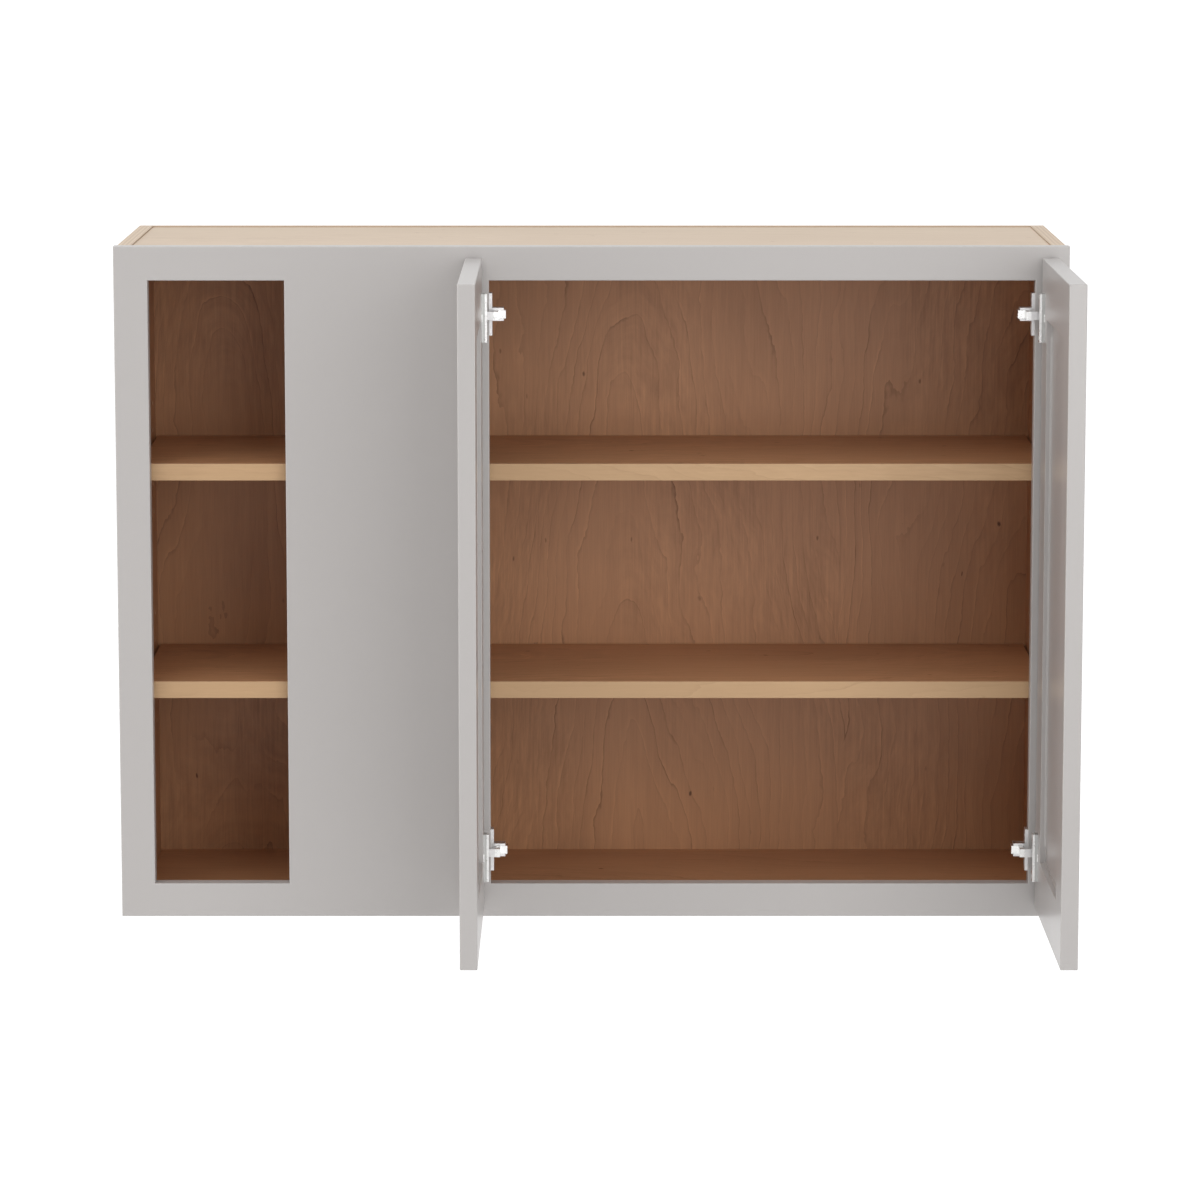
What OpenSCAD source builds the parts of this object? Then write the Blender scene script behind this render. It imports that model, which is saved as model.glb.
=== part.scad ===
// Blind corner wall cabinet with a face frame, an open bay at its blind end, two doors on concealed hinges
// and two adjustable shelves. Millimetres. The origin is the centre of the back, where the cabinet meets the
// wall. X runs to the right, the doors are on the -Y side and Z is up. The doors are drawn standing open.

/* [Cabinet] */
// Distance from the wall to the front of the face frame
cabinet_depth = 304.8; // [290:0.1:400]
// How far the frame stands out past each side panel
frame_overhang = 3.175; // [1:0.025:6]
// Thickness of each side panel
side_thickness = 15.875; // [14:0.025:19.05]
// Thickness of the top and bottom panels
deck_thickness = 15.875; // [14:0.025:19.05]
// How far the top and bottom panels lie inside the ends of the sides
deck_recess = 1.6; // [0.8:0.1:4]
// Thickness of the back panel
back_thickness = 6.35; // [4:0.05:9]
// How far the back panel is let into each side panel
back_rabbet = 7.9; // [5:0.1:10]
// Thickness of the tongues on the ends of the top and bottom panels
deck_tongue_thickness = 6.35; // [5:0.05:8]
// Length of those tongues
deck_tongue_length = 6.2; // [4:0.1:8]
// Extra depth of the grooves past the tongues
deck_groove_relief = 0.3; // [0.1:0.1:1]

/* [Face frame] */
// Width of the face frame
frame_width = 1066.8; // [1000:0.1:1200]
// Height of the face frame and of the cabinet
frame_height = 762; // [700:0.1:1067]
// Thickness of the frame stock
frame_thickness = 19.05; // [18:0.05:24]
// Width of each end stile
end_stile_width = 38.1; // [36:0.1:50]
// Width of the blind stile between the two openings
blind_stile_width = 228.6; // [150:0.1:260]
// Width of the open bay at the blind end
open_bay_width = 152.4; // [100:0.1:180]
// Width of the top and bottom rails
frame_rail_width = 38.1; // [36:0.1:50]
// Thickness of the frame tenons
frame_tenon_thickness = 6.35; // [5:0.05:8]
// Length of the frame tenons
frame_tenon_length = 12.7; // [8:0.1:18]
// Shoulder left at each edge of a frame tenon
frame_tenon_shoulder = 6; // [4:0.5:9]
// Room left at the end of each frame mortise
frame_mortise_relief = 0.5; // [0.2:0.1:1]

/* [Doors] */
// How far a closed door laps over the frame around its opening
door_overlay = 25.4; // [22:0.1:27]
// Gap between the two closed doors
door_meeting_gap = 3.2; // [2:0.1:6]
// Gap between a closed door and the frame
door_gap = 3; // [2.8:0.1:4]
// Thickness of the door stock
door_thickness = 19.05; // [18:0.05:22]
// Width of the door stiles and rails
door_member_width = 66; // [56:0.5:80]
// Thickness of the door panel
panel_thickness = 6.35; // [5.5:0.05:6.5]
// Depth of the panel below the back of the door
panel_back_recess = 6.35; // [5.8:0.05:6.6]
// Depth of the groove that holds the panel
panel_groove_depth = 9.5; // [7:0.5:12]
// Gap at each edge of the panel inside its groove
panel_edge_float = 0.8; // [0.5:0.1:2]
// Play on each face of the panel inside its groove
panel_face_play = 0.1; // [0.05:0.05:0.2]
// Width of the step around the back of the panel
back_step_width = 2.5; // [1.5:0.1:4]
// Depth of that step below the back of the door
back_step_depth = 5; // [3:0.1:5.2]
// How far the doors stand open
door_open_angle = 90; // [0:1:105]

/* [Hinges] */
// Distance from each end of a door to the middle of its hinge
hinge_end_distance = 63.5; // [60:0.5:110]
// Distance from the edge of the door to the hinge pin
pin_edge_distance = 7.9; // [7.4:0.1:8]
// Depth of the hinge pin below the back of the door
pin_depth = 10.2; // [10.1:0.1:10.5]
// Diameter of the hinge pin
pin_diameter = 2.5; // [2:0.1:3]
// Running play between the pin and the eye of the arm, on the radius
pin_running_play = 0.05; // [0.02:0.01:0.1]
// Play between the pin and the lugs of the cup, on the radius
pin_lug_play = 0.01; // [0.01:0.01:0.03]
// Outer radius of the eye at the end of the arm
eye_radius = 2.3; // [2:0.1:2.4]
// Diameter of the hinge cup
cup_diameter = 35; // [35:0.1:36]
// Distance from the edge of the door to the bore for the cup
cup_edge_distance = 3; // [2.5:0.1:3.2]
// Depth of the hinge cup
cup_depth = 13.5; // [13.4:0.1:14.5]
// Thickness of the cup's metal
cup_wall = 0.8; // [0.6:0.1:0.9]
// Play between the cup and the bore in the door
cup_play = 0.05; // [0.02:0.01:0.2]
// Thickness of the two lugs that hold the pin
lug_thickness = 2; // [1.5:0.1:2.5]
// Gap between each lug and the arm
lug_gap = 0.2; // [0.1:0.05:0.4]
// Thickness of the flange around the mouth of the cup
flange_thickness = 1; // [0.8:0.1:1.2]
// Height of the rim on the far side of the cup, where its screws sit
rim_height = 54; // [52:0.5:58]
// Gap between that rim and the edge of the opening, with the door closed
rim_gap = 0.6; // [0.4:0.1:1]
// How far the rim passes the far edge of the bore
rim_lap = 1.5; // [1:0.1:2]
// Clearance between the rim and the hinge plate, with the door closed
rim_clearance = 0.4; // [0.3:0.1:0.6]
// Height of the foot of the rim, under its lip
rim_foot_height = 3.4; // [2.8:0.1:4]
// How far the foot stands back under the lip
rim_foot_setback = 1; // [0.5:0.1:1.2]
// Depth of the seat for each screw head in the rim
rim_seat_depth = 4; // [3:0.5:4.5]
// How far the flange overlaps the edge of the bore
flange_lap = 1; // [0.5:0.1:1.8]
// Spacing of the two screws of the cup
cup_screw_spacing = 45; // [43:0.5:46]
// Distance from the middle of the cup to the line of its screws
cup_screw_offset = 9.5; // [9:0.5:10]
// Height of the hinge arm
arm_height = 9.2; // [8:0.1:10]
// Thickness of the leg of the arm inside the cup
arm_leg_thickness = 2.5; // [2:0.1:2.6]
// Gap between the arm and the far wall of the cup
arm_cup_gap = 0.3; // [0.2:0.1:0.6]
// Width of the drop between the cup and the body of the arm
arm_drop_width = 5.2; // [3:0.1:5.3]
// Distance from the edge of the opening to the inner face of the arm body
arm_body_start = 5.6; // [5:0.1:7]
// Distance from the edge of the opening to the outer face of the arm body
arm_body_reach = 18.7; // [17:0.1:22]
// Length of the arm body along the depth of the cabinet
arm_body_length = 15.5; // [14:0.5:15.5]
// Metal thickness of the arm body
arm_wall = 1.5; // [1:0.1:1.8]
// Thickness of the hinge plate on the edge of the opening
plate_thickness = 3.5; // [2.5:0.1:4.5]
// Depth of the seat for each screw head in the hinge plate
plate_seat_depth = 1.3; // [1:0.1:1.5]
// Height of the hinge plate
plate_height = 47.5; // [44:0.5:56]
// Distance from the front of the frame to the hinge plate
plate_setback = 3.5; // [3:0.1:3.5]
// Height over the two cheeks that hold the arm on the plate
cheek_height = 14.7; // [14:0.1:16]
// How far the cheeks reach from the edge of the opening
cheek_reach = 16.5; // [15:0.1:19]
// Gap between each cheek and the arm
cheek_gap = 0.1; // [0.05:0.05:0.2]
// Spacing of the two screws of the hinge plate
plate_screw_spacing = 32; // [30:0.5:34]

/* [Screws] */
// Diameter of the wood screws
wood_screw_diameter = 3.2; // [2.8:0.1:3.8]
// Length of the wood screws under their heads
wood_screw_length = 12; // [9:0.5:14]
// Diameter of the heads of the wood screws
wood_screw_head_diameter = 6.4; // [5.6:0.1:7]
// Height of the heads of the wood screws
wood_screw_head_height = 1.2; // [1:0.1:1.4]
// Diameter of the clamping screw of the arm
arm_screw_diameter = 3.5; // [3:0.1:4]
// Diameter of the head of the clamping screw
arm_screw_head_diameter = 5.6; // [5:0.1:5.8]
// Height of the head of the clamping screw
arm_screw_head_height = 1.8; // [1.4:0.1:2.4]
// Play around each screw in its hole, on the radius
screw_play = 0.05; // [0.02:0.01:0.1]
// Width of the arms of the cross recess in the screw heads
recess_width = 1; // [0.8:0.1:1.2]
// Length of the arms of the cross recess
recess_length = 3; // [2.6:0.1:3.4]
// Depth of the cross recess
recess_depth = 0.7; // [0.4:0.1:0.9]

/* [Shelves] */
// Thickness of each shelf
shelf_thickness = 19.05; // [16:0.05:22]
// Gap between each end of a shelf and the side panel
shelf_end_gap = 3; // [1.5:0.1:5]
// Gap between the back edge of a shelf and the back panel
shelf_back_gap = 0.8; // [0.5:0.1:3]
// Distance from the back of the frame to the front of a shelf
shelf_front_gap = 6.9; // [4:0.1:30]
// Thickness of the band on the front edge of a shelf
shelf_band_thickness = 1; // [0.6:0.1:2]
// Diameter of the shelf pins
shelf_pin_diameter = 5; // [4.8:0.1:6.4]
// Play around each shelf pin in its hole, on the radius
shelf_pin_play = 0.05; // [0.02:0.01:0.1]
// Depth of the holes for the shelf pins
shelf_hole_depth = 9; // [8:0.5:10]
// How far a shelf pin goes into its hole
shelf_pin_depth = 8.5; // [6:0.5:8.5]
// Distance from the front edge of the side panels to the front row of holes
shelf_row_front = 37; // [32:1:60]
// Distance from the back panel to the rear row of holes
shelf_row_back = 37; // [32:1:60]
// Spacing of the holes in a row
shelf_hole_spacing = 32; // [25:1:40]
// Number of spare holes above and below each shelf pin
shelf_spare_holes = 2; // [1:1:2]
// Length of the tab that carries the shelf
shelf_tab_length = 10; // [8:0.5:14]
// Width of that tab
shelf_tab_width = 9; // [7:0.5:12]
// Thickness of that tab
shelf_tab_thickness = 2; // [1.5:0.1:2.2]

/* [Hidden] */
$fn = 64;

// Planes of the cabinet
front_y = -cabinet_depth;
frame_back_y = front_y + frame_thickness;
back_front_y = -back_thickness;
left_x = -frame_width / 2;
right_x = frame_width / 2;
top_z = frame_height / 2;
side_outer_x = right_x - frame_overhang;
side_inner_x = side_outer_x - side_thickness;
deck_low_z = top_z - deck_recess - deck_thickness;

// Openings of the face frame
open_bay_left_x = left_x + end_stile_width;
blind_stile_left_x = open_bay_left_x + open_bay_width;
blind_stile_right_x = blind_stile_left_x + blind_stile_width;
door_bay_right_x = right_x - end_stile_width;
door_bay_middle_x = (blind_stile_right_x + door_bay_right_x) / 2;
opening_top_z = top_z - frame_rail_width;
frame_middle_y = (front_y + frame_back_y) / 2;

// Doors, drawn with the hinge edge at x = 0 and the back at y = 0
door_width = (door_bay_right_x - blind_stile_right_x - door_meeting_gap) / 2 + door_overlay;
door_height = 2 * (opening_top_z + door_overlay);
groove_floor = door_member_width - panel_groove_depth;
groove_back = panel_back_recess - panel_face_play;
groove_front = panel_back_recess + panel_thickness + panel_face_play;

// Hinges, drawn around the middle of the pin
hinge_z = door_height / 2 - hinge_end_distance;
pin_x = blind_stile_right_x - door_overlay + pin_edge_distance;
pin_y = front_y - door_gap - pin_depth;
stile_edge = door_overlay - pin_edge_distance;
frame_face = door_gap + pin_depth;
cup_radius = cup_diameter / 2;
cup_inner_radius = cup_radius - cup_wall;
cup_middle = cup_edge_distance + cup_radius;
rim_x = door_overlay + rim_gap - cup_middle;
rim_lip_x = cup_radius + rim_lap;
rim_thickness = door_gap + plate_setback - rim_clearance;
arm_reach = cup_middle - pin_edge_distance
    + sqrt(pow(cup_inner_radius, 2) - pow(arm_height / 2, 2)) - arm_cup_gap;
arm_body_x = stile_edge + arm_body_start;
arm_body_y = frame_face + plate_setback;
plate_face_x = stile_edge + plate_thickness;
plate_seat_x = plate_face_x - plate_seat_depth;
screw_seat_radius = wood_screw_head_diameter / 2 + screw_play;
plate_middle_y = arm_body_y + arm_body_length / 2;
cheek_inner = arm_height / 2 + cheek_gap;
lug_inner = arm_height / 2 + lug_gap;
lug_outer = lug_inner + lug_thickness;

// Shelves
shelf_space = (2 * deck_low_z - 2 * shelf_thickness) / 3;
upper_shelf_z = shelf_space / 2;
lower_shelf_z = -shelf_space / 2 - shelf_thickness;
shelf_front_y = frame_back_y + shelf_front_gap;
shelf_back_y = back_front_y - shelf_back_gap;
shelf_half_length = side_inner_x - shelf_end_gap;
front_row_y = frame_back_y + shelf_row_front;
back_row_y = back_front_y - shelf_row_back;
shelf_pin_drop = shelf_pin_diameter / 2;

// Overlap used only to make cuts go cleanly through a face
cut = 1;

paint = "#bab6b4";
maple = "#dccab8";
shelf_maple = "#c8a27c";
nickel = "#e2e2e0";
steel = "#c9c9c6";

// A block between two corners
module block(low, high) {
    translate(low) cube(high - low);
}

// The same thing once at each end of the cabinet, mirrored
module at_both_ends() {
    children();
    mirror([1, 0, 0]) children();
}

// The right half of what is drawn around the left door
module on_the_right() {
    translate([2 * door_bay_middle_x, 0, 0]) mirror([1, 0, 0]) children();
}

// From the space of a hinge pin to the cabinet, at the upper or the lower hinge
module at_hinge(side = 1) {
    translate([pin_x, pin_y, side * hinge_z]) children();
}

// From the space of the left door to the cabinet, turned about the hinge pins
module on_left_door() {
    translate([pin_x, pin_y, 0])
        rotate([0, 0, -door_open_angle])
            translate([-pin_edge_distance, pin_depth, 0])
                children();
}

// A bar along x with a square end at x = 0, used for pins and screws
module bar(radius, length) {
    rotate([0, 90, 0]) cylinder(r = radius, h = length);
}

// Carcass

// Side panel on the right: grooved for both decks, rabbeted for the back, drilled for the shelf pins
module side_panel() {
    color(maple)
    difference() {
        block([side_inner_x, frame_back_y, -top_z], [side_outer_x, 0, top_z]);
        block([side_inner_x - cut, back_front_y, -top_z - cut], [side_inner_x + back_rabbet, cut, top_z + cut]);
        for (side = [-1, 1]) {
            deck_groove(side);
        }
        for (shelf_z = [upper_shelf_z, lower_shelf_z]) {
            for (row_y = [front_row_y, back_row_y]) {
                shelf_holes(row_y, shelf_z - shelf_pin_drop);
            }
        }
    }
}

// Groove in the right side panel for the tongue of the top or the bottom panel
module deck_groove(side) {
    deck_middle_z = side * (deck_low_z + deck_thickness / 2);
    block([side_inner_x - cut, frame_back_y - cut, deck_middle_z - deck_tongue_thickness / 2],
        [side_inner_x + deck_tongue_length + deck_groove_relief, back_front_y + cut,
            deck_middle_z + deck_tongue_thickness / 2]);
}

// A row of holes around one shelf pin
module shelf_holes(row_y, pin_z) {
    for (step = [-shelf_spare_holes : shelf_spare_holes]) {
        translate([side_inner_x - cut, row_y, pin_z + step * shelf_hole_spacing])
            bar(shelf_pin_diameter / 2 + shelf_pin_play, shelf_hole_depth + cut);
    }
}

module left_side_panel() {
    mirror([1, 0, 0]) side_panel();
}

module right_side_panel() {
    side_panel();
}

// Deck: the top panel, or the bottom panel when mirrored, with a tongue at each end
module deck() {
    tongue_low_z = deck_low_z + (deck_thickness - deck_tongue_thickness) / 2;
    tongue_x = side_inner_x + deck_tongue_length;
    color(maple)
    union() {
        block([-side_inner_x, frame_back_y, deck_low_z], [side_inner_x, back_front_y, deck_low_z + deck_thickness]);
        block([-tongue_x, frame_back_y, tongue_low_z], [tongue_x, back_front_y, tongue_low_z + deck_tongue_thickness]);
    }
}

module top_panel() {
    deck();
}

module bottom_panel() {
    mirror([0, 0, 1]) deck();
}

// Back panel, set into the rabbets of both sides and over the back edges of both decks
module back_panel() {
    half = side_inner_x + back_rabbet;
    color(maple) block([-half, back_front_y, -top_z], [half, 0, top_z]);
}

// Face frame

// A tenon of a rail or of the blind stile, or its mortise when grown by the relief
module frame_tenon(low_x, high_x, low_z, high_z) {
    block([low_x, frame_middle_y - frame_tenon_thickness / 2, low_z],
        [high_x, frame_middle_y + frame_tenon_thickness / 2, high_z]);
}

// Mortises at the inner edge of an end stile, one for each rail
module end_stile_mortises(edge_x, direction) {
    depth = direction * (frame_tenon_length + frame_mortise_relief);
    low_z = opening_top_z + frame_tenon_shoulder;
    high_z = top_z - frame_tenon_shoulder;
    for (side = [0, 1]) {
        mirror([0, 0, side])
            frame_tenon(min(edge_x, edge_x + depth), max(edge_x, edge_x + depth), low_z, high_z);
    }
}

// End stile of the open bay
module frame_left_stile() {
    color(paint)
    difference() {
        block([left_x, front_y, -top_z], [open_bay_left_x, frame_back_y, top_z]);
        end_stile_mortises(open_bay_left_x, -1);
    }
}

// End stile beside the doors, drilled for the hinge plates
module frame_right_stile() {
    color(paint)
    difference() {
        block([door_bay_right_x, front_y, -top_z], [right_x, frame_back_y, top_z]);
        end_stile_mortises(door_bay_right_x, 1);
        on_the_right() plate_screw_holes();
    }
}

// Wide stile that closes the blind part, tenoned into both rails
module frame_blind_stile() {
    low_x = blind_stile_left_x + frame_tenon_shoulder;
    high_x = blind_stile_right_x - frame_tenon_shoulder;
    color(paint)
    difference() {
        union() {
            block([blind_stile_left_x, front_y, -opening_top_z], [blind_stile_right_x, frame_back_y, opening_top_z]);
            frame_tenon(low_x, high_x, -opening_top_z - frame_tenon_length, opening_top_z + frame_tenon_length);
        }
        plate_screw_holes();
    }
}

// Rail along the top of the frame, or along the bottom when mirrored
module frame_rail() {
    low_x = blind_stile_left_x + frame_tenon_shoulder;
    high_x = blind_stile_right_x - frame_tenon_shoulder;
    mortise_top_z = opening_top_z + frame_tenon_length + frame_mortise_relief;
    color(paint)
    difference() {
        union() {
            block([open_bay_left_x, front_y, opening_top_z], [door_bay_right_x, frame_back_y, top_z]);
            frame_tenon(open_bay_left_x - frame_tenon_length, door_bay_right_x + frame_tenon_length,
                opening_top_z + frame_tenon_shoulder, top_z - frame_tenon_shoulder);
        }
        frame_tenon(low_x, high_x, opening_top_z - cut, mortise_top_z);
    }
}

module frame_top_rail() {
    frame_rail();
}

module frame_bottom_rail() {
    mirror([0, 0, 1]) frame_rail();
}

// Doors

// Section of a stile or rail: x from its outer edge, y from the back of the door, with the groove and the step
module member_section() {
    difference() {
        translate([0, -door_thickness]) square([door_member_width, door_thickness]);
        translate([groove_floor, -groove_front]) square([panel_groove_depth + cut, groove_front - groove_back]);
        translate([door_member_width - back_step_width, -back_step_depth])
            square([back_step_width + cut, back_step_depth + cut]);
    }
}

// Stile with its outer edge at x = 0
module door_stile() {
    translate([0, 0, -door_height / 2])
        linear_extrude(height = door_height) member_section();
}

// Stile with its outer edge at the meeting edge of the door
module far_stile() {
    translate([door_width, 0, 0]) mirror([1, 0, 0]) door_stile();
}

// Rail along the top of the door, its ends coped over both stiles
module door_rail() {
    color(paint)
    difference() {
        translate([groove_floor, 0, door_height / 2])
            rotate([0, 90, 0])
                linear_extrude(height = door_width - 2 * groove_floor)
                    member_section();
        door_stile();
        far_stile();
    }
}

// Stile on the hinge side, bored for both cups and for their screws
module hinge_stile() {
    color(paint)
    difference() {
        door_stile();
        for (side = [-1, 1]) {
            translate([cup_middle, cut, side * hinge_z])
                rotate([90, 0, 0])
                    cylinder(r = cup_radius + cup_play, h = cup_depth + cup_play + cut);
            at_cup_screws(side)
                translate([0, cut, 0])
                    rotate([90, 0, 0])
                        cylinder(d = wood_screw_diameter + 2 * screw_play, h = wood_screw_length + cut);
        }
    }
}

module meeting_stile() {
    color(paint) far_stile();
}

// Flat panel that floats in the grooves
module door_panel() {
    edge = groove_floor + panel_edge_float;
    color(paint)
    block([edge, -panel_back_recess - panel_thickness, edge - door_height / 2],
        [door_width - edge, -panel_back_recess, door_height / 2 - edge]);
}

module left_door_hinge_stile() {
    on_left_door() hinge_stile();
}

module left_door_meeting_stile() {
    on_left_door() meeting_stile();
}

module left_door_top_rail() {
    on_left_door() door_rail();
}

module left_door_bottom_rail() {
    on_left_door() mirror([0, 0, 1]) door_rail();
}

module left_door_panel() {
    on_left_door() door_panel();
}

module right_door_hinge_stile() {
    on_the_right() left_door_hinge_stile();
}

module right_door_meeting_stile() {
    on_the_right() left_door_meeting_stile();
}

module right_door_top_rail() {
    on_the_right() left_door_top_rail();
}

module right_door_bottom_rail() {
    on_the_right() left_door_bottom_rail();
}

module right_door_panel() {
    on_the_right() left_door_panel();
}

// Hinges

// The two screw places of a cup, on the back of the door
module at_cup_screws(side) {
    for (end = [-1, 1]) {
        translate([cup_middle + cup_screw_offset, 0, side * hinge_z + end * cup_screw_spacing / 2]) children();
    }
}

// Cup with its flange, a thick rim beside it that has a foot and a lip, and two lugs inside that hold the pin
module hinge_cup(side) {
    lug_depth = cup_depth - pin_depth;
    lug_x = pin_edge_distance - cup_middle;
    color(nickel)
    translate([cup_middle, 0, side * hinge_z])
        difference() {
            union() {
                difference() {
                    union() {
                        rotate([90, 0, 0]) cylinder(r = cup_radius, h = cup_depth);
                        translate([0, flange_thickness, 0])
                            rotate([90, 0, 0]) cylinder(r = cup_radius + flange_lap, h = flange_thickness);
                        block([rim_x, 0, -rim_height / 2],
                            [rim_lip_x - rim_foot_setback, rim_thickness, rim_height / 2]);
                        block([rim_x, rim_foot_height, -rim_height / 2],
                            [rim_lip_x, rim_thickness, rim_height / 2]);
                    }
                    translate([0, rim_thickness + cut, 0])
                        rotate([90, 0, 0])
                            cylinder(r = cup_inner_radius, h = cup_depth - cup_wall + rim_thickness + cut);
                }
                for (lug = [-1, 1]) {
                    hinge_lug(lug, lug_x, lug_depth);
                }
            }
            translate([lug_x, -pin_depth, -lug_outer - cut])
                cylinder(d = pin_diameter + 2 * pin_lug_play, h = 2 * (lug_outer + cut));
            for (end = [-1, 1]) {
                translate([cup_screw_offset, rim_thickness + cut, end * cup_screw_spacing / 2])
                    rotate([90, 0, 0]) {
                        cylinder(d = wood_screw_diameter + 2 * screw_play, h = rim_thickness + 2 * cut);
                        cylinder(r = screw_seat_radius, h = rim_seat_depth + cut);
                    }
            }
        }
}

// One lug: a round head about the pin on a foot that stands on the floor of the cup
module hinge_lug(lug, lug_x, lug_depth) {
    low_z = lug > 0 ? lug_inner : -lug_outer;
    translate([lug_x, -pin_depth, low_z]) {
        cylinder(r = eye_radius, h = lug_thickness);
        translate([-eye_radius, -lug_depth + cup_wall / 2, 0])
            cube([2 * eye_radius, lug_depth - cup_wall / 2, lug_thickness]);
    }
}

module left_hinge_cup(side) {
    on_left_door() hinge_cup(side);
}

// Pin, through both lugs and the eye of the arm
module left_hinge_pin(side) {
    color(steel)
    at_hinge(side)
        translate([0, 0, -lug_outer]) cylinder(d = pin_diameter, h = 2 * lug_outer);
}

// Cranked arm: an eye and a leg inside the cup, a drop out of its mouth, and a channel body behind the frame's face
module left_hinge_arm(side) {
    half = arm_height / 2;
    body_end_y = arm_body_y + arm_body_length;
    body_outer_x = stile_edge + arm_body_reach;
    color(nickel)
    at_hinge(side)
        difference() {
            union() {
                translate([0, 0, -half]) cylinder(r = eye_radius, h = arm_height);
                block([0, -eye_radius, -half], [arm_reach, arm_leg_thickness - eye_radius, half]);
                block([arm_reach - arm_drop_width, -eye_radius, -half], [arm_reach, arm_body_y + arm_wall, half]);
                block([arm_body_x, arm_body_y, -half], [body_outer_x, body_end_y, half]);
            }
            translate([0, 0, -half - cut])
                cylinder(r = pin_diameter / 2 + pin_running_play, h = arm_height + 2 * cut);
            block([arm_body_x + arm_wall, arm_body_y + arm_wall, arm_wall - half],
                [body_outer_x + cut, body_end_y + cut, half - arm_wall]);
            translate([arm_body_x - cut, plate_middle_y, 0])
                bar(arm_screw_diameter / 2 + screw_play, arm_wall + 2 * cut);
        }
}

// Plate on the edge of the opening, with a seat and two cheeks that hold the arm
module left_hinge_plate(side) {
    end_y = arm_body_y + arm_body_length;
    color(nickel)
    at_hinge(side)
        difference() {
            union() {
                block([stile_edge, arm_body_y, -plate_height / 2], [plate_face_x, end_y, plate_height / 2]);
                block([stile_edge, arm_body_y, -cheek_height / 2], [arm_body_x, end_y, cheek_height / 2]);
                for (cheek = [0, 1]) {
                    mirror([0, 0, cheek])
                        block([stile_edge, arm_body_y, cheek_inner],
                            [stile_edge + cheek_reach, end_y, cheek_height / 2]);
                }
            }
            translate([stile_edge - cut, plate_middle_y, 0])
                bar(arm_screw_diameter / 2 + screw_play, arm_body_start + 2 * cut);
            for (end = [-1, 1]) {
                translate([stile_edge - cut, plate_middle_y, end * plate_screw_spacing / 2])
                    bar(wood_screw_diameter / 2 + screw_play, plate_thickness + 2 * cut);
                translate([plate_seat_x, plate_middle_y, end * plate_screw_spacing / 2])
                    bar(screw_seat_radius, plate_seat_depth + cut);
            }
        }
}

module left_upper_hinge_cup() {
    left_hinge_cup(1);
}

module left_upper_hinge_pin() {
    left_hinge_pin(1);
}

module left_upper_hinge_arm() {
    left_hinge_arm(1);
}

module left_upper_hinge_plate() {
    left_hinge_plate(1);
}

module left_lower_hinge_cup() {
    left_hinge_cup(-1);
}

module left_lower_hinge_pin() {
    left_hinge_pin(-1);
}

module left_lower_hinge_arm() {
    left_hinge_arm(-1);
}

module left_lower_hinge_plate() {
    left_hinge_plate(-1);
}

module right_upper_hinge_cup() {
    on_the_right() left_hinge_cup(1);
}

module right_upper_hinge_pin() {
    on_the_right() left_hinge_pin(1);
}

module right_upper_hinge_arm() {
    on_the_right() left_hinge_arm(1);
}

module right_upper_hinge_plate() {
    on_the_right() left_hinge_plate(1);
}

module right_lower_hinge_cup() {
    on_the_right() left_hinge_cup(-1);
}

module right_lower_hinge_pin() {
    on_the_right() left_hinge_pin(-1);
}

module right_lower_hinge_arm() {
    on_the_right() left_hinge_arm(-1);
}

module right_lower_hinge_plate() {
    on_the_right() left_hinge_plate(-1);
}

// Screws

// Screw along -x with the underside of its head at x = 0 and a cross recess in the head
module screw(diameter, length, head_diameter, head_height) {
    color(steel)
    difference() {
        union() {
            translate([-length, 0, 0]) bar(diameter / 2, length);
            bar(head_diameter / 2, head_height);
        }
        for (turn = [0, 90]) {
            rotate([turn, 0, 0])
                translate([head_height - recess_depth, -recess_length / 2, -recess_width / 2])
                    cube([recess_depth + cut, recess_length, recess_width]);
        }
    }
}

module wood_screw() {
    screw(wood_screw_diameter, wood_screw_length, wood_screw_head_diameter, wood_screw_head_height);
}

// Screws that hold the cups of the left door
module left_cup_screws() {
    on_left_door()
        for (side = [-1, 1]) {
            at_cup_screws(side)
                translate([0, rim_thickness - rim_seat_depth, 0]) rotate([0, 0, 90]) wood_screw();
        }
}

module right_cup_screws() {
    on_the_right() left_cup_screws();
}

// The screw places of both hinge plates on the blind stile
module at_plate_screws() {
    for (side = [-1, 1]) {
        for (end = [-1, 1]) {
            at_hinge(side)
                translate([plate_seat_x, plate_middle_y, end * plate_screw_spacing / 2]) children();
        }
    }
}

module plate_screw_holes() {
    at_plate_screws()
        translate([-wood_screw_length, 0, 0])
            bar(wood_screw_diameter / 2 + screw_play, wood_screw_length);
}

module plate_screws() {
    at_plate_screws() wood_screw();
    on_the_right() at_plate_screws() wood_screw();
}

// Screws that clamp the arms on their plates
module left_arm_screws() {
    for (side = [-1, 1]) {
        at_hinge(side)
            translate([arm_body_x + arm_wall, plate_middle_y, 0])
                screw(arm_screw_diameter, arm_body_start + arm_wall - screw_play,
                    arm_screw_head_diameter, arm_screw_head_height);
    }
}

module arm_screws() {
    left_arm_screws();
    on_the_right() left_arm_screws();
}

// Shelves

module shelf(low_z) {
    color(shelf_maple)
    block([-shelf_half_length, shelf_front_y + shelf_band_thickness, low_z],
        [shelf_half_length, shelf_back_y, low_z + shelf_thickness]);
}

// Band glued on the front edge of a shelf
module shelf_band(low_z) {
    color(shelf_maple)
    block([-shelf_half_length, shelf_front_y, low_z],
        [shelf_half_length, shelf_front_y + shelf_band_thickness, low_z + shelf_thickness]);
}

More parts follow.
